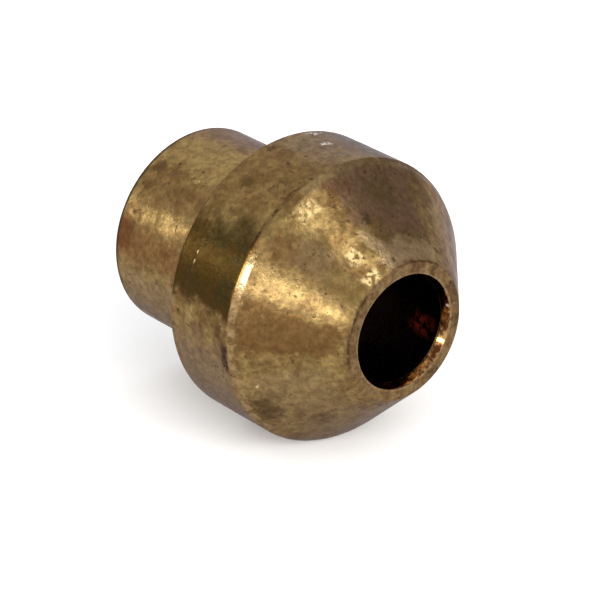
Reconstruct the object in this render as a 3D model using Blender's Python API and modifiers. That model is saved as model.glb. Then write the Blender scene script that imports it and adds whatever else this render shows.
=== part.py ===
"""Oil burner nozzle: a cone-nosed brass nipple, turned and drilled from one bar.

The part lies on its side. Its turning axis is X, the nose points to +X, and the
origin is on the axis, halfway between the nose face and the tail end.
All lengths are in metres.
"""
import math

import bmesh
import bpy
from mathutils import Euler, Vector

MM = 0.001

# Driving dimensions. Diameters first, then lengths along the axis.
COLLAR_D = 11.2 * MM
TAIL_D = 8.0 * MM
CONE_BASE_D = 10.83 * MM
NOSE_FACE_D = 5.4 * MM
MOUTH_D = 4.5 * MM
BORE_D = 4.2 * MM
SOCKET_D = 6.4 * MM

CONE_LENGTH = 3.1 * MM
RIDGE_LENGTH = 0.3 * MM
COLLAR_LENGTH = 3.3 * MM
TAIL_LENGTH = 5.5 * MM
LEAD_IN_DEPTH = 0.36 * MM
SOCKET_DEPTH = 5.0 * MM
DRILL_POINT_ANGLE = math.radians(118)

# Radii of the edges that the lathe tool leaves.
SHARP_EDGE = 0.05 * MM
TURNED_EDGE = 0.10 * MM
SOFT_EDGE = 0.15 * MM
SHOULDER_FILLET = 0.20 * MM

# Facets: steps round the axis, and chords in each rounded edge.
STEPS = 64
ARC_CHORDS = 3
MERGE_DISTANCE = 0.001 * MM
SHARP_ANGLE = math.radians(25)

BRASS_COLOUR = (0.42, 0.31, 0.16, 1.0)
BRASS_ROUGHNESS = 0.42


def clear_scene():
    """Remove whatever objects the file was opened with."""
    for thing in list(bpy.data.objects):
        bpy.data.objects.remove(thing, do_unlink=True)


def brass():
    """Handled, slightly tarnished brass."""
    material = bpy.data.materials.new("tarnished_brass")
    material.use_nodes = True
    shader = material.node_tree.nodes["Principled BSDF"]
    shader.inputs["Base Color"].default_value = BRASS_COLOUR
    shader.inputs["Metallic"].default_value = 1.0
    shader.inputs["Roughness"].default_value = BRASS_ROUGHNESS
    return material


def outer_corners():
    """The turned outside, nose to tail, as (radius, height, edge radius)."""
    nose = (CONE_LENGTH + RIDGE_LENGTH + COLLAR_LENGTH + TAIL_LENGTH) / 2
    cone_base = nose - CONE_LENGTH
    collar_front = cone_base - RIDGE_LENGTH
    shoulder = collar_front - COLLAR_LENGTH
    tail_end = shoulder - TAIL_LENGTH
    return [
        (NOSE_FACE_D / 2, nose, TURNED_EDGE),
        (CONE_BASE_D / 2, cone_base, TURNED_EDGE),
        (COLLAR_D / 2, collar_front, TURNED_EDGE),
        (COLLAR_D / 2, shoulder, TURNED_EDGE),
        (TAIL_D / 2, shoulder, SHOULDER_FILLET),
        (TAIL_D / 2, tail_end, SOFT_EDGE),
    ]


def inner_corners():
    """The drilled inside, tail to nose, as (radius, height, edge radius)."""
    nose = outer_corners()[0][1]
    tail_end = outer_corners()[-1][1]
    socket_floor = tail_end + SOCKET_DEPTH
    drill_point = (SOCKET_D - BORE_D) / 2 / math.tan(DRILL_POINT_ANGLE / 2)
    return [
        (SOCKET_D / 2, tail_end, TURNED_EDGE),
        (SOCKET_D / 2, socket_floor, SHARP_EDGE),
        (BORE_D / 2, socket_floor + drill_point, SHARP_EDGE),
        (BORE_D / 2, nose - LEAD_IN_DEPTH, SHARP_EDGE),
        (MOUTH_D / 2, nose, SHARP_EDGE),
    ]


def rounded_corner(before, corner, after, edge_radius):
    """Points of the arc that rounds one corner of the outline."""
    to_before = (before - corner).normalized()
    to_after = (after - corner).normalized()
    half_angle = to_before.angle(to_after) / 2
    bisector = (to_before + to_after).normalized()
    centre = corner + bisector * (edge_radius / math.sin(half_angle))
    tangent = edge_radius / math.tan(half_angle)
    start = corner + to_before * tangent - centre
    finish = corner + to_after * tangent - centre
    sweep = start.angle(finish)
    points = []
    for chord in range(ARC_CHORDS + 1):
        share = chord / ARC_CHORDS
        first = math.sin((1 - share) * sweep) / math.sin(sweep)
        second = math.sin(share * sweep) / math.sin(sweep)
        points.append(centre + start * first + finish * second)
    return points


def turned_outline():
    """The closed half section: down the outside, then up the inside."""
    corners = outer_corners() + inner_corners()
    places = [Vector((radius, height)) for radius, height, _ in corners]
    outline = []
    for index, (_, _, edge_radius) in enumerate(corners):
        before = places[index - 1]
        after = places[(index + 1) % len(places)]
        outline += rounded_corner(before, places[index], after, edge_radius)
    return outline


def outline_mesh(name, outline):
    """A closed wire in the XZ plane, ready for a Screw modifier."""
    wire = bmesh.new()
    verts = [wire.verts.new((point.x, 0.0, point.y)) for point in outline]
    for vert, following in zip(verts, verts[1:] + verts[:1]):
        wire.edges.new((vert, following))
    mesh = bpy.data.meshes.new(name)
    wire.to_mesh(mesh)
    wire.free()
    return mesh


def lathe(obj):
    """Turn the object's wire once round its Z axis and keep the result."""
    screw = obj.modifiers.new("turn", "SCREW")
    screw.axis = "Z"
    screw.angle = math.tau
    screw.steps = STEPS
    screw.render_steps = STEPS
    screw.use_merge_vertices = True
    screw.merge_threshold = MERGE_DISTANCE
    graph = bpy.context.evaluated_depsgraph_get()
    solid = bpy.data.meshes.new_from_object(obj.evaluated_get(graph))
    obj.modifiers.clear()
    obj.data = solid
    solid.shade_smooth()
    solid.set_sharp_from_angle(angle=SHARP_ANGLE)


def make_nozzle(collection):
    """The one solid piece, laid on its side with a facet underneath."""
    wire = outline_mesh("nozzle_body", turned_outline())
    nozzle = bpy.data.objects.new("nozzle_body", wire)
    collection.objects.link(nozzle)
    lathe(nozzle)
    nozzle.data.materials.append(brass())
    half_facet = math.pi / STEPS
    lay_down = Euler((0.0, math.pi / 2, 0.0)).to_matrix()
    facet_down = Euler((0.0, 0.0, half_facet)).to_matrix()
    nozzle.rotation_euler = (lay_down @ facet_down).to_euler()
    return nozzle


def main():
    clear_scene()
    collection = bpy.data.collections.new("oil_burner_nozzle")
    bpy.context.scene.collection.children.link(collection)
    make_nozzle(collection)


main()
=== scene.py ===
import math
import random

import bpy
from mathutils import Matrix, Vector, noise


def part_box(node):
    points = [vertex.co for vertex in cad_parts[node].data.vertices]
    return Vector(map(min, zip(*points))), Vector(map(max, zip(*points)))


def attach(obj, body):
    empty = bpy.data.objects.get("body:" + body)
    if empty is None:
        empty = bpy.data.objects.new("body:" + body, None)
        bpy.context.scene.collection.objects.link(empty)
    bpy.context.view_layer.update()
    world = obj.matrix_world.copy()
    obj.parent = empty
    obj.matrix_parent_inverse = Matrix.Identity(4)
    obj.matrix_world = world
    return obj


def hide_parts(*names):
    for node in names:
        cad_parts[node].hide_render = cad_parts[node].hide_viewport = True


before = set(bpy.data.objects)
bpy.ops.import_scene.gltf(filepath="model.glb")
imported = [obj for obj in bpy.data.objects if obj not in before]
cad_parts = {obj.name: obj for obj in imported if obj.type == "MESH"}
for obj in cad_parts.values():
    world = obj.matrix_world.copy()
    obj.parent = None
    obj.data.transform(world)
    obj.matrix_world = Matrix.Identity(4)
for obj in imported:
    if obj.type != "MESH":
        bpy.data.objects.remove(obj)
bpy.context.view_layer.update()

# The looks of a turned brass oil burner nozzle: one finely turned mesh that stands for the
# faceted CAD solid, tarnished brass made from nodes, a pale floor, soft lights and a camera.
# Lengths are in metres, the turning axis is X and the nose points to +X. Angles round the axis
# are in degrees from the front (-Y) towards the top (+Z): 90 is the top, 180 the back and -90
# the underside.

MM = 0.001

# ---------------------------------------------------------------- the shape, from the frame
LOW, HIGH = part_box("nozzle_body")
NOSE_X = HIGH.x
TAIL_X = LOW.x
COLLAR_R = HIGH.z
TAIL_R = 4.00 * MM
CONE_BASE_R = 5.415 * MM
NOSE_FACE_R = 2.70 * MM
MOUTH_R = 2.25 * MM
BORE_R = 2.10 * MM
SOCKET_R = 3.20 * MM

CONE_LENGTH = 3.1 * MM
RIDGE_LENGTH = 0.3 * MM
COLLAR_LENGTH = 3.3 * MM
LEAD_IN_DEPTH = 0.36 * MM
SOCKET_DEPTH = 5.0 * MM
DRILL_POINT_ANGLE = math.radians(118)

CONE_BASE_X = NOSE_X - CONE_LENGTH
RIDGE_X = CONE_BASE_X - RIDGE_LENGTH
SHOULDER_X = RIDGE_X - COLLAR_LENGTH
LEAD_IN_X = NOSE_X - LEAD_IN_DEPTH
SOCKET_FLOOR_X = TAIL_X + SOCKET_DEPTH
DRILL_POINT_X = SOCKET_FLOOR_X + (SOCKET_R - BORE_R) / math.tan(DRILL_POINT_ANGLE / 2)

# A line is scribed near the back of the collar: a short slope down to a slightly smaller radius.
SCRIBE_X = SHOULDER_X + 0.8 * MM
SCRIBE_SLOPE = 0.03 * MM
BAND_R = COLLAR_R - 0.008 * MM

# The mesh: steps round the axis, chords in each rounded edge, and steps along the outline
ROUND_STEPS = 384
ARC_CHORDS = 4
FINE = 0.095 * MM
COARSE = 0.30 * MM

# Material slots
NOSE, COLLAR, TAIL, BORE, LIP = range(5)


def rounded_corner(before, corner, after, edge_radius):
    """The arc that rounds one corner of the outline."""
    to_before = (before - corner).normalized()
    to_after = (after - corner).normalized()
    half_angle = to_before.angle(to_after) / 2
    bisector = (to_before + to_after).normalized()
    centre = corner + bisector * (edge_radius / math.sin(half_angle))
    tangent = edge_radius / math.tan(half_angle)
    start = corner + to_before * tangent - centre
    finish = corner + to_after * tangent - centre
    sweep = start.angle(finish)
    points = []
    for chord in range(ARC_CHORDS + 1):
        share = chord / ARC_CHORDS
        first = math.sin((1 - share) * sweep) / math.sin(sweep)
        second = math.sin(share * sweep) / math.sin(sweep)
        points.append(centre + start * first + finish * second)
    return points


def straight_stretch(start, finish, step):
    """Points between two ends of a straight stretch, without the ends."""
    count = max(1, round((finish - start).length / step))
    return [start.lerp(finish, n / count) for n in range(1, count)]


def turned_outline():
    """The closed half section as ((x, radius), slot): back outside, then forward inside."""
    corners = [
        # x, radius, edge radius, slot of the edge, then step and slot of the stretch after it
        (NOSE_X, NOSE_FACE_R, 0.10 * MM, NOSE, FINE, NOSE),
        (CONE_BASE_X, CONE_BASE_R, 0.16 * MM, COLLAR, FINE, COLLAR),
        (RIDGE_X, COLLAR_R, 0.14 * MM, COLLAR, FINE, COLLAR),
        (SCRIBE_X + SCRIBE_SLOPE, COLLAR_R, 0.02 * MM, COLLAR, FINE, COLLAR),
        (SCRIBE_X, BAND_R, 0.02 * MM, COLLAR, FINE, COLLAR),
        (SHOULDER_X, BAND_R, 0.08 * MM, COLLAR, FINE, COLLAR),
        (SHOULDER_X, TAIL_R, 0.12 * MM, TAIL, FINE, TAIL),
        (TAIL_X, TAIL_R, 0.12 * MM, TAIL, FINE, TAIL),
        (TAIL_X, SOCKET_R, 0.10 * MM, TAIL, COARSE, TAIL),
        (SOCKET_FLOOR_X, SOCKET_R, 0.05 * MM, TAIL, COARSE, TAIL),
        (DRILL_POINT_X, BORE_R, 0.05 * MM, BORE, COARSE, BORE),
        (LEAD_IN_X, BORE_R, 0.12 * MM, NOSE, FINE, LIP),
        (NOSE_X, MOUTH_R, 0.04 * MM, NOSE, FINE, NOSE),
    ]
    places = [Vector(corner[:2]) for corner in corners]
    arcs = []
    for index, corner in enumerate(corners):
        after = places[(index + 1) % len(places)]
        arcs.append(rounded_corner(places[index - 1], places[index], after, corner[2]))
    outline = []
    for index, (_, _, _, edge_slot, step, slot) in enumerate(corners):
        following = arcs[(index + 1) % len(arcs)]
        stretch = straight_stretch(arcs[index][-1], following[0], step)
        outline += [(point, edge_slot) for point in arcs[index][:-1]]
        outline += [(point, slot) for point in arcs[index][-1:] + stretch]
    return outline


# Nicks: x, degrees round the axis, half length, half width, turn from the axis in degrees, depth
NICKS = [
    (SHOULDER_X + 1.75 * MM, 98, 0.26 * MM, 0.10 * MM, 25, 0.040 * MM),
    (SHOULDER_X + 0.40 * MM, 99, 0.24 * MM, 0.10 * MM, 60, 0.040 * MM),
    (SHOULDER_X + 2.10 * MM, 62, 0.20 * MM, 0.06 * MM, 80, 0.018 * MM),
    (SHOULDER_X + 1.95 * MM, 65, 0.16 * MM, 0.06 * MM, 70, 0.016 * MM),
    (RIDGE_X - 0.20 * MM, -4, 0.40 * MM, 0.18 * MM, 88, 0.030 * MM),
    (TAIL_X + 0.75 * MM, 27, 0.22 * MM, 0.06 * MM, 15, 0.016 * MM),
    (TAIL_X + 2.30 * MM, 60, 0.14 * MM, 0.08 * MM, 40, 0.016 * MM),
    (TAIL_X + 0.70 * MM, 56, 0.18 * MM, 0.10 * MM, 75, 0.016 * MM),
]
SMALL_NICK_COUNT = 60
SMALL_NICK_SEED = 11
NICK_STEEPNESS = 1.3
NICK_LIP_STEEPNESS = 4
NICK_LIP_HEIGHT = 0.3         # as a share of the nick's depth
NICK_LIP_PLACE = 1.5          # in sizes of the nick from its middle
NICK_REACH = 3                # in half lengths along the part; further off it isn't worked out

# The fine unevenness of the outside, and the wear of the ridge
RELIEF_HEIGHT = 0.0022 * MM
RELIEF_SPACING = 0.7 * MM
RIDGE_WEAR_DEPTH = 0.016 * MM
RIDGE_WEAR_WIDTH = 0.22 * MM
RIDGE_WEAR_SPACING = 0.9 * MM
RIDGE_WEAR_FINE_SPACING = 0.3 * MM


def small_nicks():
    """Shallow handling marks scattered over the outside."""
    chance = random.Random(SMALL_NICK_SEED)
    marks = []
    for _ in range(SMALL_NICK_COUNT):
        marks.append((
            chance.uniform(TAIL_X, NOSE_X),
            chance.uniform(-180, 180),
            chance.uniform(0.10, 0.22) * MM,
            chance.uniform(0.07, 0.11) * MM,
            chance.uniform(0, 180),
            chance.uniform(0.003, 0.009) * MM,
        ))
    return marks


def nick_height(nick, x, radius, angle):
    """A nick sinks the surface and raises a faint lip round itself."""
    nick_x, nick_deg, half_length, half_width, turn_deg, depth = nick
    along = x - nick_x
    around = (angle - math.radians(nick_deg) + math.pi) % math.tau - math.pi
    around *= radius
    turn = math.radians(turn_deg)
    u = (along * math.cos(turn) + around * math.sin(turn)) / half_length
    v = (around * math.cos(turn) - along * math.sin(turn)) / half_width
    reach = math.hypot(u, v)
    lip = NICK_LIP_HEIGHT * math.exp(-NICK_LIP_STEEPNESS * (reach - NICK_LIP_PLACE) ** 2)
    return depth * (lip - math.exp(-NICK_STEEPNESS * reach * reach))


def ridge_wear(x, place):
    """Uneven wear on the two edges of the ridge."""
    away = (x - (RIDGE_X + CONE_BASE_X) / 2) / RIDGE_WEAR_WIDTH
    rub = 0.5 + noise.noise(place / RIDGE_WEAR_SPACING)
    rub += 0.5 * noise.noise(place / RIDGE_WEAR_FINE_SPACING)
    return -RIDGE_WEAR_DEPTH * max(0.0, rub) * math.exp(-away * away)


def surface_height(nicks, x, radius, angle):
    """How far the outside stands proud (+) or is sunk (-) at one place."""
    place = Vector((x, radius * math.cos(angle), radius * math.sin(angle)))
    height = RELIEF_HEIGHT * noise.noise(place / RELIEF_SPACING)
    height += ridge_wear(x, place)
    for nick in nicks:
        height += nick_height(nick, x, radius, angle)
    return height


def outward_at(outline, index):
    """The direction that leads out of the metal at one point of the outline."""
    before = outline[index - 1][0]
    after = outline[(index + 1) % len(outline)][0]
    tangent = (after - before).normalized()
    return Vector((tangent.y, -tangent.x))


def ring_vertices(point, outward, nicks):
    """One point of the outline carried round the axis. The bore and the socket stay smooth."""
    worked = point.y > SOCKET_R or point.x > LEAD_IN_X
    near = [nick for nick in nicks if abs(point.x - nick[0]) < NICK_REACH * nick[2]]
    ring = []
    for step in range(ROUND_STEPS):
        angle = math.tau * step / ROUND_STEPS
        height = surface_height(near, point.x, point.y, angle) if worked else 0.0
        here = point + outward * height
        ring.append((here.x, -here.y * math.cos(angle), here.y * math.sin(angle)))
    return ring


def ring_faces(rings):
    """The faces between each ring and the next; the last ring joins the first."""
    faces = []
    for ring in range(rings):
        following = (ring + 1) % rings
        for step in range(ROUND_STEPS):
            beside = (step + 1) % ROUND_STEPS
            faces.append((
                ring * ROUND_STEPS + step,
                ring * ROUND_STEPS + beside,
                following * ROUND_STEPS + beside,
                following * ROUND_STEPS + step,
            ))
    return faces


def make_nozzle():
    """One closed mesh: the outline carried round the axis, with the nicks pressed in."""
    outline = turned_outline()
    nicks = NICKS + small_nicks()
    verts = []
    for index, (point, _) in enumerate(outline):
        verts += ring_vertices(point, outward_at(outline, index), nicks)
    mesh = bpy.data.meshes.new("nozzle")
    mesh.from_pydata(verts, [], ring_faces(len(outline)))
    for face in mesh.polygons:
        face.material_index = outline[face.index // ROUND_STEPS][1]
    mesh.shade_smooth()
    nozzle = bpy.data.objects.new("nozzle", mesh)
    bpy.context.scene.collection.objects.link(nozzle)
    return nozzle


# ---------------------------------------------------------------- materials, made from nodes
# Sockets of the Mix node when it mixes colours; its inputs of other types share their names.
MIX_FIRST = 6
MIX_SECOND = 7
MIX_RESULT = 2

SPECK_CORE = 0.45             # how much of a speck's size is at full strength


class Shader:
    """The nodes of a material or a world, built by small calls that return output sockets."""

    def __init__(self, owner, surface_name):
        owner.use_nodes = True
        self.owner = owner
        self.tree = owner.node_tree
        self.surface = self.tree.nodes[surface_name]

    def add(self, kind, **settings):
        node = self.tree.nodes.new(kind)
        for key, value in settings.items():
            setattr(node, key, value)
        return node

    def feed(self, socket, value):
        """Link a socket to another, or set its value."""
        if isinstance(value, bpy.types.NodeSocket):
            self.tree.links.new(value, socket)
        elif socket.type == "RGBA" and len(value) == 3:
            socket.default_value = (*value, 1.0)
        else:
            socket.default_value = value

    def math(self, operation, first, second=0.0, third=0.0):
        node = self.add("ShaderNodeMath", operation=operation)
        for socket, value in zip(node.inputs, (first, second, third)):
            self.feed(socket, value)
        return node.outputs[0]

    def vector(self, operation, first, second):
        node = self.add("ShaderNodeVectorMath", operation=operation)
        self.feed(node.inputs[0], first)
        self.feed(node.inputs[1], second)
        return node.outputs

    def shifted(self, place, shift):
        return self.vector("ADD", place, shift)["Vector"]

    def scaled(self, place, scale):
        return self.vector("MULTIPLY", place, scale)["Vector"]

    def mix(self, share, first, second, blend="MIX"):
        node = self.add("ShaderNodeMix", data_type="RGBA", blend_type=blend)
        self.feed(node.inputs["Factor"], share)
        self.feed(node.inputs[MIX_FIRST], first)
        self.feed(node.inputs[MIX_SECOND], second)
        return node.outputs[MIX_RESULT]

    def rise(self, value, low, high, out_low=0.0, out_high=1.0):
        """out_low below low, out_high above high, and smooth between."""
        node = self.add("ShaderNodeMapRange", interpolation_type="SMOOTHSTEP")
        for socket, item in zip(node.inputs, (value, low, high, out_low, out_high)):
            self.feed(socket, item)
        return node.outputs[0]

    def noise(self, place, scale, detail, rough=0.6, shift=(0.0, 0.0, 0.0), warp=0.0):
        """A noise in space, with about scale blobs to the millimetre."""
        node = self.add("ShaderNodeTexNoise", noise_dimensions="3D")
        self.feed(node.inputs["Vector"], self.shifted(place, shift))
        for name, value in (("Scale", scale), ("Detail", detail), ("Roughness", rough)):
            self.feed(node.inputs[name], value)
        self.feed(node.inputs["Distortion"], warp)
        return node.outputs[0]

    def warped(self, place, scale, reach):
        """The place pushed about by a noise, so that what is drawn there gets ragged edges."""
        push = self.add("ShaderNodeTexNoise", noise_dimensions="3D")
        self.feed(push.inputs["Vector"], place)
        self.feed(push.inputs["Scale"], scale)
        self.feed(push.inputs["Detail"], 2.0)
        middle = self.shifted(push.outputs["Color"], (-0.5, -0.5, -0.5))
        return self.shifted(place, self.scaled(middle, (reach, reach, reach)))

    def rings(self, value, scale, detail):
        """A noise along one value, which makes rings or turning marks."""
        node = self.add("ShaderNodeTexNoise", noise_dimensions="1D")
        for name, item in (("W", value), ("Scale", scale), ("Detail", detail)):
            self.feed(node.inputs[name], item)
        return node.outputs[0]

    def specks(self, place, scale, share, size, shift):
        """Scattered spots: share of the cells that hold one, and size in cells."""
        cells = self.add("ShaderNodeTexVoronoi", feature="F1")
        self.feed(cells.inputs["Vector"], self.shifted(place, shift))
        self.feed(cells.inputs["Scale"], scale)
        split = self.add("ShaderNodeSeparateColor")
        self.feed(split.inputs[0], cells.outputs["Color"])
        limit = 1 - share
        chosen = self.rise(split.outputs[0], limit - 0.01, limit + 0.01)
        near = self.rise(cells.outputs["Distance"], size * SPECK_CORE, size, 1.0, 0.0)
        return self.math("MULTIPLY", chosen, near)

    def between(self, value, low, high, soft):
        """1 from low to high, falling to 0 over the soft distance outside them."""
        start = self.rise(value, low - soft, low + soft)
        stop = self.rise(value, high - soft, high + soft, 1.0, 0.0)
        return self.math("MULTIPLY", start, stop)

    def product(self, *values):
        result = values[0]
        for value in values[1:]:
            result = self.math("MULTIPLY", result, value)
        return result

    def most(self, values):
        """The largest of several values."""
        result = values[0]
        for value in values[1:]:
            result = self.math("MAXIMUM", result, value)
        return result

    def bump(self, height, distance, below=None):
        """A normal from a height, laid over the bump below it."""
        node = self.add("ShaderNodeBump")
        self.feed(node.inputs["Height"], height)
        self.feed(node.inputs["Distance"], distance)
        if below is not None:
            self.feed(node.inputs["Normal"], below)
        return node.outputs[0]

    def finish(self, name, value):
        """Link or set one input of the surface."""
        self.feed(self.surface.inputs[name], value)


def material_shader(name):
    return Shader(bpy.data.materials.new(name), "Principled BSDF")


class Turned:
    """Places on the turned surface, all in millimetres and degrees."""

    def __init__(self, shader):
        coords = shader.add("ShaderNodeTexCoord").outputs["Object"]
        self.place = shader.scaled(coords, (1 / MM, 1 / MM, 1 / MM))
        parts = shader.add("ShaderNodeSeparateXYZ")
        shader.feed(parts.inputs[0], self.place)
        x, y, z = parts.outputs
        self.back = shader.math("SUBTRACT", NOSE_X / MM, x)
        squares = shader.math("MULTIPLY_ADD", y, y, shader.math("MULTIPLY", z, z))
        self.radius = shader.math("SQRT", squares)
        angle = shader.math("ARCTAN2", z, shader.math("MULTIPLY", y, -1.0))
        self.degrees = shader.math("MULTIPLY", angle, math.degrees(1))


# Colours of the brass; some of them stand for painted shade, painted reflections and painted
# highlights
CLEAN = (0.335, 0.219, 0.081)
GOLD = (0.410, 0.280, 0.104)
BROWN = (0.200, 0.114, 0.041)
OLIVE = (0.175, 0.122, 0.040)
RUST_AND_DARK_REFLECTION = (0.235, 0.115, 0.042)
GREY_SHEEN = (0.225, 0.170, 0.120)
SMOKY = (0.305, 0.217, 0.114)
BACK_TOP_SHADE = (0.130, 0.100, 0.078)
REDDISH = (0.190, 0.098, 0.034)
FACE_BROWN = (0.195, 0.106, 0.046)
FACE_LIGHT = (0.300, 0.190, 0.090)
ROSY = (0.250, 0.157, 0.088)
BEIGE = (0.350, 0.240, 0.120)
PALE = (0.570, 0.400, 0.215)
DEEP_RUST = (0.150, 0.050, 0.016)
DIRT = (0.045, 0.024, 0.011)
STAIN_GOLD = (0.066, 0.036, 0.007)
STAIN_GREEN = (0.048, 0.033, 0.009)
AMBER = (0.230, 0.110, 0.020)
PLUM = (0.270, 0.160, 0.090)
UMBER = (0.085, 0.045, 0.021)
# Worn metal, also the colour of a painted highlight on the ridge
WORN_AND_GLINT = (0.560, 0.415, 0.220)
# Colours of painted glints
GLINT_GOLD = (0.800, 0.600, 0.280)
GLINT_WHITE = (0.980, 0.920, 0.800)
RUBBED = (0.430, 0.290, 0.145)

# How far behind the nose face each edge lies, and two radii, in millimetres
CONE_END = (NOSE_X - CONE_BASE_X) / MM
RIDGE_END = (NOSE_X - RIDGE_X) / MM
SCRIBE = (NOSE_X - SCRIBE_X) / MM
COLLAR_END = (NOSE_X - SHOULDER_X) / MM
TAIL_END = (NOSE_X - TAIL_X) / MM
MOUTH = MOUTH_R / MM
NOSE_EDGE = NOSE_FACE_R / MM

# The brass has three zones, because the marks of all three are too many for one material:
# material, then millimetres behind the nose face from and to. They come in the slots' order.
NOSE_ZONE = ("nose_brass", 0.0, CONE_END)
COLLAR_ZONE = ("collar_brass", CONE_END, COLLAR_END)
TAIL_ZONE = ("tail_brass", COLLAR_END, TAIL_END)

# One millimetre round the collar, in degrees
DEGREES_PER_MM = math.degrees(MM / COLLAR_R)

# Where the metal is discoloured, or where shade and reflections are painted on: colour,
# millimetres behind the nose face from and to, degrees from and to, soft edge in millimetres,
# strength. Each stain is laid over the ones before it.
# A noise moves the edges; a push is the whole width of that, in millimetres.
STAINS = [
    # Painted reflection: a grey sheen over the top and back
    (GREY_SHEEN, 3.4, 6.7, 82, 150, 0.5, 0.50),
    (GREY_SHEEN, 6.8, 11.5, 96, 150, 0.6, 0.45),
    # Painted shade: darker over the top towards the back
    (BACK_TOP_SHADE, 3.2, 6.7, 106, 150, 0.5, 0.65),
    (BACK_TOP_SHADE, 6.8, 11.8, 104, 150, 0.5, 0.50),
    (BROWN, 3.5, 6.7, 48, 82, 0.4, 0.55),
    (ROSY, 3.5, 6.7, -60, -2, 0.4, 0.70),
    (SMOKY, 3.5, 6.6, -36, -10, 0.3, 0.60),
    (BEIGE, 3.0, 3.4, 68, 100, 0.15, 0.65),
    (BEIGE, 7.0, 11.8, -32, -4, 0.4, 0.65),
    (ROSY, 9.6, 12.2, 84, 112, 0.4, 0.60),
    (BEIGE, 0.5, 2.8, -75, -14, 0.5, 0.50),
    # Painted dark reflection: a darker band across the front of the cone
    (REDDISH, 0.3, 3.0, -4, 18, 0.25, 0.85),
    (BROWN, 7.0, 12.0, 36, 60, 0.35, 0.60),
    # Painted dark reflection: the same darker band on the tail
    (RUST_AND_DARK_REFLECTION, 6.8, 12.2, 3, 19, 0.25, 0.75),
    # The dark patch on the top of the cone: a stain with a painted dark reflection in it
    (PLUM, 1.50, 3.1, 77, 94, 0.16, 0.85),
    (PLUM, 0.90, 3.1, 90, 119, 0.16, 0.85),
    (PALE, 0.05, 0.75, 76, 126, 0.20, 0.80),
    (PALE, 0.60, 1.30, 74, 84, 0.20, 0.55),
    (OLIVE, 1.8, 2.6, 94, 108, 0.20, 0.50),
    (DEEP_RUST, 2.5, 3.1, 72, 84, 0.20, 0.30),
    (UMBER, 2.4, 3.1, -42, -26, 0.20, 0.60),
    (UMBER, 1.4, 2.0, -60, -48, 0.25, 0.45),
    (GOLD, 7.5, 12.0, 62, 90, 0.50, 0.55),
]
STAIN_PUSH = 0.9

# Small marks, in the same way
MARKS = [
    (AMBER, 3.28, 3.44, 18, 40, 0.06, 0.80),
    # Painted highlight: a bright streak at the top of the cone's bright triangle
    (GOLD, 2.70, 3.05, 67, 74, 0.35, 0.70),
    (ROSY, 1.20, 2.30, 40, 56, 0.30, 0.55),
    (DIRT, 3.38, 3.74, -12, -1, 0.06, 1.00),
    (DIRT, 3.75, 4.05, 1, 6, 0.06, 0.65),
    (UMBER, 3.60, 4.20, -8, 2, 0.10, 0.35),
    (UMBER, 2.85, 3.12, 16, 21, 0.06, 0.60),
    (DIRT, 4.36, 4.50, 61, 64, 0.04, 0.75),
    (DIRT, 3.44, 3.56, 62, 66, 0.04, 0.75),
    (DIRT, 6.15, 6.45, 76, 82, 0.05, 0.60),
    (UMBER, 4.00, 4.50, 65, 68, 0.05, 0.60),
    (STAIN_GREEN, 5.30, 5.80, 57, 63, 0.15, 0.60),
    (STAIN_GREEN, 1.45, 1.80, 81, 86, 0.12, 0.75),
    (STAIN_GREEN, 3.60, 4.80, 39, 48, 0.25, 0.75),
    (UMBER, 11.30, 11.80, 53, 59, 0.12, 0.65),
    (UMBER, 11.30, 11.70, 42, 46, 0.10, 0.60),
    (UMBER, 11.20, 11.60, 17, 23, 0.10, 0.70),
    (DEEP_RUST, 11.30, 12.15, 6, 23, 0.20, 0.80),
    (DEEP_RUST, 8.90, 9.50, 12, 15.5, 0.10, 0.65),
    (UMBER, 9.50, 9.70, -6, -3, 0.06, 0.55),
    (DIRT, 9.58, 9.70, 58, 60, 0.04, 0.75),
    (DIRT, 11.00, 11.35, 28.4, 29.8, 0.03, 0.70),
    (DIRT, 9.00, 9.10, 27, 31, 0.04, 0.65),
    (DIRT, 1.50, 1.62, -9, -4, 0.05, 0.60),
    (UMBER, 2.20, 2.40, -31, -26, 0.10, 0.65),
    (UMBER, 1.90, 2.20, -47, -42, 0.12, 0.60),
    (UMBER, -0.50, 0.04, 96, 112, 0.04, 0.55),
    (UMBER, -0.50, 0.04, 146, 170, 0.04, 0.70),
    (DIRT, -0.50, 0.04, -178, -166, 0.04, 0.55),
    (UMBER, 0.00, 0.12, -10, 44, 0.05, 0.45),
    (DIRT, -0.50, 0.04, 120, 127, 0.04, 0.70),
    (DIRT, -0.50, 0.04, -130, -118, 0.04, 0.60),
]
MARK_PUSH = 0.45

# Painted highlights, broken up into sparkles: glints on the cone's bright band, near the mouth, at
# the top of the cone's bright triangle and on the edges of nicks
PAINTED_GLINTS = [
    (GLINT_GOLD, 2.65, 2.72, -20.5, -19, 0.03, 1.00),
    (GLINT_GOLD, 9.30, 9.50, 57, 59, 0.04, 0.60),
    (GLINT_WHITE, 6.24, 6.46, 98, 104, 0.05, 1.00),
    (GLINT_WHITE, 5.14, 5.32, 94, 99, 0.05, 1.00),
    (GLINT_GOLD, 0.08, 0.40, 54, 68, 0.08, 1.00),
    (GLINT_GOLD, 0.75, 1.20, 58, 67, 0.12, 0.90),
    (GLINT_GOLD, 2.55, 3.00, 57, 68, 0.12, 0.60),
    (GLINT_GOLD, 0.30, 3.00, 22, 36, 0.25, 0.12),
]
GLINT_PUSH = 0.3

# Round the part the noise moves edges further than along it, and the other way.
ROUND_PUSH = -2.4

# How far outside a zone a spot can be and still reach into it: a share of the push, which is
# about as far as the noise goes, and some millimetres to spare
PUSH_SHARE = 0.3
SPARE = 0.1


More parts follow.
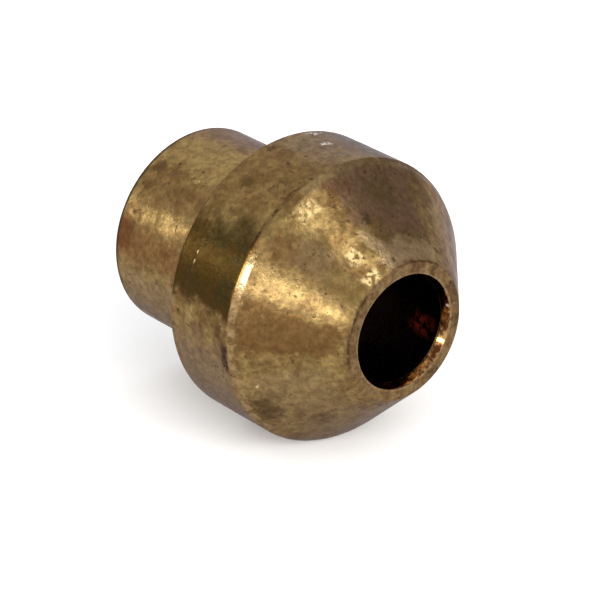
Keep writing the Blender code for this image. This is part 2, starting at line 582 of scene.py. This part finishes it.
def within(zone, push, spots):
    """The spots that reach into a zone, allowing for their soft and ragged edges."""
    _, first, last = zone
    reach = SPARE + PUSH_SHARE * push
    found = []
    for spot in spots:
        _, start, stop, _, _, soft, _ = spot
        if start - soft - reach < last and stop + soft + reach > first:
            found.append(spot)
    return found


def laid_over(shader, here, ragged, push, spots, colour, cover=1.0):
    """The colour with each spot laid over it; the ragged noise moves the edges of the spots."""
    centred = shader.math("SUBTRACT", ragged, 0.5)
    back = shader.math("MULTIPLY_ADD", centred, push, here.back)
    round_push = ROUND_PUSH * push * DEGREES_PER_MM
    degrees = shader.math("MULTIPLY_ADD", centred, round_push, here.degrees)
    for spot, start, stop, low, high, soft, strength in spots:
        along = shader.between(back, start, stop, soft)
        around = shader.between(degrees, low, high, soft * DEGREES_PER_MM)
        share = shader.product(along, around, strength, cover)
        colour = shader.mix(share, colour, spot)
    return colour


# The olive stain across the collar: degrees where it starts, degrees where it fades, degrees
# that a noise moves them, and strength
COLLAR_STAIN_START = (6, 13)
COLLAR_STAIN_FADE = (36, 50)
COLLAR_STAIN_WANDER = 14.0
COLLAR_STAIN_STRENGTH = 0.96


def collar_stain(shader, here, noises):
    """The dark olive tarnish across the collar: how much of it, and its colour."""
    push = shader.math("SUBTRACT", noises["ragged"], 0.5)
    degrees = shader.math("MULTIPLY_ADD", push, COLLAR_STAIN_WANDER, here.degrees)
    around = shader.product(
        shader.rise(degrees, *COLLAR_STAIN_START),
        shader.rise(degrees, *COLLAR_STAIN_FADE, 1.0, 0.0))
    on_collar = shader.between(here.back, RIDGE_END, COLLAR_END, 0.03)
    greener = shader.math("MULTIPLY_ADD", here.back, -0.10, noises["patches"])
    colour = shader.mix(shader.rise(greener, -0.02, 0.14), STAIN_GOLD, STAIN_GREEN)
    return shader.product(around, on_collar, COLLAR_STAIN_STRENGTH), colour


# Radii in millimetres between which the surface stops being the tail's or becomes the collar's
TAIL_RADII = (4.2, 4.4)
COLLAR_RADII = (5.2, 5.4)


def dark_edges_and_shade(shader, here, breaks):
    """Dark lines along the turned edges, broken up by a noise: along the collar's back edge, in
    the corner where the tail meets it, in the scribed line and on the front of the nose face's
    edge, a painted dark reflection on the ridge's back edge, and painted shade on the tail's
    rounded end; places in millimetres and degrees.
    """
    on_collar = shader.rise(here.radius, *COLLAR_RADII)
    on_tail = shader.rise(here.radius, *TAIL_RADII, 1.0, 0.0)
    upper_front = shader.product(
        shader.rise(here.degrees, 35, 40), shader.rise(here.degrees, 52, 78, 1.0, 0.25))
    lines = [
        # the ridge's back edge: a painted dark reflection
        shader.product(
            shader.between(here.back, RIDGE_END - 0.04, RIDGE_END + 0.12, 0.06), upper_front),
        # the collar's back edge
        shader.product(
            shader.between(here.back, COLLAR_END - 0.06, COLLAR_END + 0.1, 0.05), on_collar),
        # the corner where the tail meets the collar
        shader.product(
            shader.between(here.back, COLLAR_END, COLLAR_END + 0.16, 0.06), on_tail),
        # the scribed line
        shader.product(shader.between(here.back, SCRIBE - 0.03, SCRIBE + 0.02, 0.03), 0.45),
        # the edge of the nose face, on the front
        shader.product(
            shader.between(here.radius, NOSE_EDGE - 0.04, NOSE_EDGE + 0.04, 0.05),
            shader.between(here.degrees, -15, 60, 12.0), 0.75),
    ]
    broken = shader.product(shader.most(lines), shader.rise(breaks, 0.40, 0.56, 0.20, 0.90))
    # Painted shade: the rounded end of the tail darkened
    tail_end = shader.rise(here.back, TAIL_END - 0.26, TAIL_END - 0.12, 0.0, 0.85)
    return shader.math("MAXIMUM", broken, tail_end)


def worn_edges_and_glints(shader, here, breaks):
    """Bright worn metal with a painted highlight on part of the ridge, where the lamp's highlight
    falls, and painted glints on the scribed line.
    """
    on_ridge = shader.between(here.back, CONE_END + 0.03, RIDGE_END - 0.10, 0.05)
    ridge = shader.product(on_ridge, shader.between(here.degrees, 21, 36, 3.0))
    # Painted glints on the scribed line
    painted_glint = shader.product(
        shader.between(here.back, SCRIBE - 0.10, SCRIBE - 0.04, 0.03),
        shader.between(here.degrees, 21, 33, 1.0),
        shader.rise(breaks, 0.48, 0.60, 0.0, 0.75))
    edges = shader.math("MAXIMUM", ridge, painted_glint)
    return shader.product(edges, shader.rise(breaks, 0.34, 0.50, 0.55, 0.90))


def rubbed_edges(shader, here, breaks):
    """The lower part of the ridge and the mouth's edge, rubbed a little cleaner."""
    wander = shader.math("MULTIPLY_ADD", breaks, 0.35, -0.17)
    pushed = shader.math("ADD", here.back, wander)
    on_ridge = shader.between(pushed, CONE_END + 0.04, RIDGE_END + 0.03, 0.06)
    ridge = shader.product(on_ridge, shader.between(here.degrees, -55, 24, 6.0))
    rim = shader.product(
        shader.rise(here.back, 0.05, 0.08, 1.0, 0.0),
        shader.rise(here.radius, MOUTH + 0.03, MOUTH + 0.09, 1.0, 0.0))
    edges = shader.math("MAXIMUM", ridge, rim)
    return shader.product(edges, shader.rise(breaks, 0.38, 0.62, 0.10, 0.75))


# Dark specks: form, cells to the millimetre, share of the cells, size in cells, strength, shift
SPECKS = [
    ("round", 1.5, 0.26, 0.17, 0.60, (0.0, 0.0, 0.0)),
    ("round", 3.3, 0.24, 0.21, 0.42, (5.0, 5.0, 5.0)),
    ("round", 6.5, 0.10, 0.24, 0.40, (3.0, 8.0, 1.0)),
    ("long", 2.6, 0.26, 0.18, 0.60, (9.0, 2.0, 4.0)),
    ("cross", 2.6, 0.26, 0.18, 0.60, (2.0, 6.0, 7.0)),
]


def dark_specks(shader, place):
    """Pits and dots of dirt, some round and some drawn out along or round the part."""
    ragged = shader.warped(place, 5.0, 0.22)
    forms = {
        "round": ragged,
        "long": shader.scaled(ragged, (0.40, 1.3, 1.3)),
        "cross": shader.scaled(ragged, (1.5, 0.55, 0.55)),
    }
    kinds = []
    for form, scale, share, size, strength, shift in SPECKS:
        specks = shader.specks(forms[form], scale, share, size, shift)
        kinds.append(shader.product(specks, strength))
    return shader.most(kinds)


# Noises of the brass: blobs to the millimetre, detail, roughness, shift and distortion.
# Their values lie mostly between 0.3 and 0.7. Where rise() is given two numbers in that range,
# a layer starts at the first and is full at the second.
NOISES = {
    "patches": (1.05, 3.0, 0.55, (7.0, 3.0, 1.0)),
    "blots": (3.4, 3.0, 0.60, (1.0, -9.0, 2.0), 0.25),
    "olive": (0.95, 4.0, 0.60, (-11.0, 5.0, 9.0)),
    "rust": (1.35, 4.0, 0.60, (3.0, -17.0, 4.0)),
    "grain": (6.5, 2.0, 0.60, (1.0, 2.0, 3.0)),
    "ragged": (2.2, 4.0, 0.60, (2.0, 8.0, -5.0)),
    "sparkle": (5.5, 3.0, 0.55, (-4.0, 1.0, 6.0)),
}
BLOTS_IN_TONE = 0.33          # the rest of the tone is patches


def brass_noises(shader, place):
    """The noises by name, and the tone, which runs from tarnished (low) to clean (high)."""
    noises = {}
    for name, settings in NOISES.items():
        noises[name] = shader.noise(place, *settings)
    difference = shader.math("SUBTRACT", noises["blots"], noises["patches"])
    noises["tone"] = shader.math("MULTIPLY_ADD", difference, BLOTS_IN_TONE, noises["patches"])
    return noises


# Mottling laid over the brown and clean metal: noise, from and to, strength, colour
MOTTLES = [
    ("tone", 0.52, 0.68, 0.70, GOLD),
    ("olive", 0.48, 0.66, 0.45, OLIVE),
    ("rust", 0.52, 0.70, 0.60, RUST_AND_DARK_REFLECTION),
]


def mottled(shader, noises):
    """Metal between brown and clean, with golden, olive and rusty patches."""
    colour = shader.mix(shader.rise(noises["tone"], 0.36, 0.58), BROWN, CLEAN)
    for name, low, high, strength, patch in MOTTLES:
        share = shader.rise(noises[name], low, high, 0.0, strength)
        colour = shader.mix(share, colour, patch)
    return colour


def stained(shader, here, noises, zone, colour):
    """The zone's large stains and painted shade and reflections, shaded by blots, and the olive
    stain on the collar.
    """
    stains = within(zone, STAIN_PUSH, STAINS)
    colour = laid_over(shader, here, noises["ragged"], STAIN_PUSH, stains, colour)
    shade = shader.rise(noises["blots"], 0.30, 0.70, 0.84, 1.16)
    colour = shader.mix(1.0, colour, shade, "MULTIPLY")
    if zone is COLLAR_ZONE:
        share, olive = collar_stain(shader, here, noises)
        colour = shader.mix(share, colour, olive)
    return colour


def nose_face(shader, here, noises, colour):
    """The flat ring round the mouth, browner than the cone."""
    on_face = shader.product(
        shader.rise(here.back, 0.02, 0.10, 1.0, 0.0),
        shader.rise(noises["blots"], 0.36, 0.58, 1.0, 0.70))
    face = shader.mix(shader.rise(noises["sparkle"], 0.40, 0.62), FACE_BROWN, FACE_LIGHT)
    return shader.mix(on_face, colour, face)


def marked(shader, here, noises, zone, colour):
    """The zone's small marks and its painted glints."""
    blots = noises["blots"]
    patchy = shader.rise(blots, 0.36, 0.56, 0.45, 1.0)
    marks = within(zone, MARK_PUSH, MARKS)
    colour = laid_over(shader, here, blots, MARK_PUSH, marks, colour, patchy)
    # Painted highlights, broken up by a noise
    glint_breakup = shader.rise(noises["sparkle"], 0.44, 0.56)
    glints = within(zone, GLINT_PUSH, PAINTED_GLINTS)
    return laid_over(shader, here, blots, GLINT_PUSH, glints, colour, glint_breakup)


TURNING_MARKS_PER_MM = 9.0
MARKS_ON_FACES = 0.73         # how close they run on the flat faces, against the cylinders
MARK_WANDER = 0.05            # how far the ragged noise bends them, in millimetres
TURNING_MARK_HEIGHT = 0.0010 * MM
GRAIN_HEIGHT = 0.0075 * MM
BLOT_HEIGHT = 0.0070 * MM
PIT_DEPTH = 0.0060 * MM


def brass_relief(shader, here, noises, specks):
    """Turning marks, grain, blots and pits, one bump over another."""
    turned = shader.math("MULTIPLY_ADD", here.radius, MARKS_ON_FACES, here.back)
    turned = shader.math("MULTIPLY_ADD", noises["ragged"], MARK_WANDER, turned)
    rings = shader.rings(turned, TURNING_MARKS_PER_MM, 3.0)
    normal = shader.bump(rings, TURNING_MARK_HEIGHT)
    normal = shader.bump(noises["grain"], GRAIN_HEIGHT, normal)
    normal = shader.bump(noises["blots"], BLOT_HEIGHT, normal)
    return shader.bump(shader.math("MULTIPLY", specks, -1.0), PIT_DEPTH, normal)


# Tarnish keeps the metal from going mirror white where it is seen at a glancing angle.
EDGE_TINT = (0.72, 0.66, 0.68)
TARNISHED_ROUGHNESS = 0.32
CLEAN_ROUGHNESS = 0.23
WORN_POLISH = 0.12            # how much smoother the worn edges and painted glints are


def tarnished_brass(zone):
    """One zone's brass, layer over layer: mottling, stains, marks, dirt and wear, with painted
    shade, reflections and highlights among them.
    """
    shader = material_shader(zone[0])
    here = Turned(shader)
    noises = brass_noises(shader, here.place)
    blots = noises["blots"]

    colour = mottled(shader, noises)
    colour = stained(shader, here, noises, zone, colour)
    colour = nose_face(shader, here, noises, colour)
    colour = marked(shader, here, noises, zone, colour)
    # Dark edge lines, with painted shade and a painted dark reflection among them
    colour = shader.mix(dark_edges_and_shade(shader, here, blots), colour, DIRT)
    colour = shader.mix(rubbed_edges(shader, here, blots), colour, RUBBED)
    worn_and_glint = worn_edges_and_glints(shader, here, blots)
    # Worn metal, with a painted highlight on the ridge and painted glints on the scribed line
    colour = shader.mix(worn_and_glint, colour, WORN_AND_GLINT)
    specks = dark_specks(shader, here.place)
    colour = shader.mix(specks, colour, DIRT)
    shade = shader.rise(noises["grain"], 0.25, 0.75, 0.86, 1.14)
    shader.finish("Base Color", shader.mix(1.0, colour, shade, "MULTIPLY"))

    shader.finish("Metallic", 1.0)
    shader.finish("Specular Tint", EDGE_TINT)
    rough = shader.rise(noises["tone"], 0.38, 0.62, TARNISHED_ROUGHNESS, CLEAN_ROUGHNESS)
    shader.finish("Roughness", shader.math("MULTIPLY_ADD", worn_and_glint, -WORN_POLISH, rough))
    shader.finish("Normal", brass_relief(shader, here, noises, specks))
    return shader.owner


# Colours of the bore: a painted red glint and painted shade
BORE_GLINT_RED = (0.980, 0.095, 0.060)
BORE_SHADE_BLACK = (0.014, 0.007, 0.005)
BORE_RING_HEIGHT = 0.004 * MM


def bore_painted_dark():
    """The bore behind the lead-in: painted shade, near black, with one painted dark red
    reflection.
    """
    shader = material_shader("bore_painted_dark")
    here = Turned(shader)
    mottle = shader.noise(here.place, 3.4, 3.0)
    # A painted reflection: a dark red glint on the far wall just inside the mouth
    glint = shader.product(
        shader.between(here.degrees, -168, -151, 7.0),
        shader.between(here.back, 0.7, 1.7, 0.3),
        shader.rise(mottle, 0.40, 0.58))
    shader.finish("Base Color", shader.mix(glint, BORE_SHADE_BLACK, BORE_GLINT_RED))
    shader.finish("Metallic", 1.0)
    shader.finish("Roughness", shader.rise(mottle, 0.3, 0.7, 0.22, 0.36))
    shader.finish("Normal", shader.bump(shader.rings(here.back, 6.0, 3.0), BORE_RING_HEIGHT))
    return shader.owner


LIP_DARK = (0.110, 0.038, 0.014)
LIP_BRIGHT = (0.600, 0.350, 0.130)
LIP_BUMP_HEIGHT = 0.010 * MM
GLINT_ROUGHNESS = 0.35        # how much rougher the painted glint is


def oily_lip():
    """The lead-in behind the mouth's edge: glossy, dark and bright in patches, with one painted
    glint.
    """
    shader = material_shader("oily_lip")
    here = Turned(shader)
    mottle = shader.noise(here.place, 2.4, 3.0, 0.60, (4.0, 4.0, 4.0))
    colour = shader.mix(shader.rise(mottle, 0.42, 0.62), LIP_DARK, LIP_BRIGHT)
    # A painted highlight: a small white glint on the far side of the lead-in
    painted_glint = shader.product(
        shader.between(here.degrees, 169, 172, 1.2),
        shader.between(here.back, 0.05, 0.15, 0.04))
    shader.finish("Base Color", shader.mix(painted_glint, colour, GLINT_WHITE))
    shader.finish("Metallic", 1.0)
    rough = shader.rise(mottle, 0.3, 0.7, 0.16, 0.09)
    shader.finish("Roughness", shader.math("MULTIPLY_ADD", painted_glint, GLINT_ROUGHNESS, rough))
    shader.finish("Normal", shader.bump(mottle, LIP_BUMP_HEIGHT))
    return shader.owner


PAPER_SEEN = 0.93
PAPER_LIT = 0.53
PAPER_ROUGHNESS = 0.95


def grey(value):
    """A colour without hue."""
    return (value, value, value)


def paper_floor():
    """Matt paper: over-exposed to the camera, as a studio sweep is, and greyer to the brass."""
    shader = material_shader("paper_floor")
    seen = shader.add("ShaderNodeLightPath").outputs["Is Camera Ray"]
    shader.finish("Base Color", shader.mix(seen, grey(PAPER_LIT), grey(PAPER_SEEN)))
    shader.finish("Roughness", PAPER_ROUGHNESS)
    return shader.owner


# ---------------------------------------------------------------- floor, lights and camera
# Soft boxes: name, azimuth, elevation, width, height, watts, distance, mirrored in the metal
SOFT_BOXES = [
    ("shadow_key", 85, 22, 0.50, 0.30, 3.4, 0.50, False),
    ("window", 39, 14, 0.13, 0.09, 0.12, 0.40, True),
    ("lamp", 10, 21, 0.19, 0.05, 0.54, 0.40, True),
    ("left_window", -46, 15, 0.09, 0.07, 0.055, 0.40, True),
    ("upper_window", 95, 54, 0.20, 0.10, 0.092, 0.40, True),
]

# The room that the metal mirrors, the sky that lights the paper, and the white behind it
ROOM = grey(0.84)
SKY_ON_PAPER = grey(1.00)
BACKGROUND = grey(1.0)
# One side of the room is darker: azimuth and elevation of its middle, and how many degrees from
# there it ends and is full
DARK_SIDE = (0.36, 0.34, 0.35)
DARK_MIDDLE = (160, 30)
DARK_END = 48
DARK_FULL = 20

FLOOR_SIZE = 3.0

# The camera: azimuth and elevation, distance and aim in collar radii, focal length in millimetres
CAMERA_FROM = (49.97, 26.07)
CAMERA_DISTANCE = 21.32
CAMERA_AIM = (0.032, 0.0, -0.164)
FOCAL_LENGTH = 189.3
SENSOR_WIDTH = 36.0
CLIP_START = 0.01
CLIP_END = 10.0


def direction(azimuth, elevation):
    """A unit vector: azimuth 0 is the front (-Y) and 90 the nose side (+X)."""
    az = math.radians(azimuth)
    el = math.radians(elevation)
    return Vector((math.sin(az) * math.cos(el), -math.cos(az) * math.cos(el), math.sin(el)))


def soft_box(name, azimuth, elevation, width, height, watts, distance, mirrored):
    """A rectangular light that faces the nozzle, and that the camera doesn't see."""
    light = bpy.data.lights.new(name, "AREA")
    light.shape = "RECTANGLE"
    light.size = width
    light.size_y = height
    light.energy = watts
    box = bpy.data.objects.new(name, light)
    back = direction(azimuth, elevation)
    box.location = back * distance
    box.rotation_euler = back.to_track_quat("Z", "Y").to_euler()
    box.visible_camera = False
    box.visible_glossy = mirrored
    bpy.context.scene.collection.objects.link(box)


def studio_world():
    """A soft room with one darker side for the brass, an even sky for the paper, white behind."""
    world = bpy.data.worlds.new("studio")
    bpy.context.scene.world = world
    world.cycles.sampling_method = "NONE"
    shader = Shader(world, "Background")
    outward = shader.add("ShaderNodeTexCoord").outputs["Generated"]
    toward = shader.vector("DOT_PRODUCT", outward, direction(*DARK_MIDDLE))["Value"]
    ends = math.cos(math.radians(DARK_END))
    full = math.cos(math.radians(DARK_FULL))
    room = shader.mix(shader.rise(toward, ends, full), ROOM, DARK_SIDE)
    path = shader.add("ShaderNodeLightPath").outputs
    room = shader.mix(path["Is Diffuse Ray"], room, SKY_ON_PAPER)
    shader.finish("Color", shader.mix(path["Is Camera Ray"], room, BACKGROUND))


def make_floor():
    """A wide sheet of paper that touches the underside of the collar."""
    bpy.ops.mesh.primitive_plane_add(size=FLOOR_SIZE, location=(0.0, 0.0, -COLLAR_R))
    floor = bpy.context.object
    floor.name = "floor"
    floor.data.materials.append(paper_floor())
    return floor


def make_camera():
    """A long lens that looks down from the front on the nose's side."""
    lens = bpy.data.cameras.new("camera")
    camera = bpy.data.objects.new("camera", lens)
    bpy.context.scene.collection.objects.link(camera)
    bpy.context.scene.camera = camera
    lens.sensor_width = SENSOR_WIDTH
    lens.lens = FOCAL_LENGTH
    lens.clip_start = CLIP_START
    lens.clip_end = CLIP_END
    back = direction(*CAMERA_FROM)
    camera.location = Vector(CAMERA_AIM) * COLLAR_R + back * CAMERA_DISTANCE * COLLAR_R
    camera.rotation_euler = back.to_track_quat("Z", "Y").to_euler()


nozzle = make_nozzle()
for zone in (NOSE_ZONE, COLLAR_ZONE, TAIL_ZONE):
    nozzle.data.materials.append(tarnished_brass(zone))
nozzle.data.materials.append(bore_painted_dark())
nozzle.data.materials.append(oily_lip())
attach(nozzle, "root")
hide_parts("nozzle_body")
make_floor()
for box_settings in SOFT_BOXES:
    soft_box(*box_settings)
studio_world()
make_camera()
bpy.context.scene.view_settings.view_transform = "Standard"
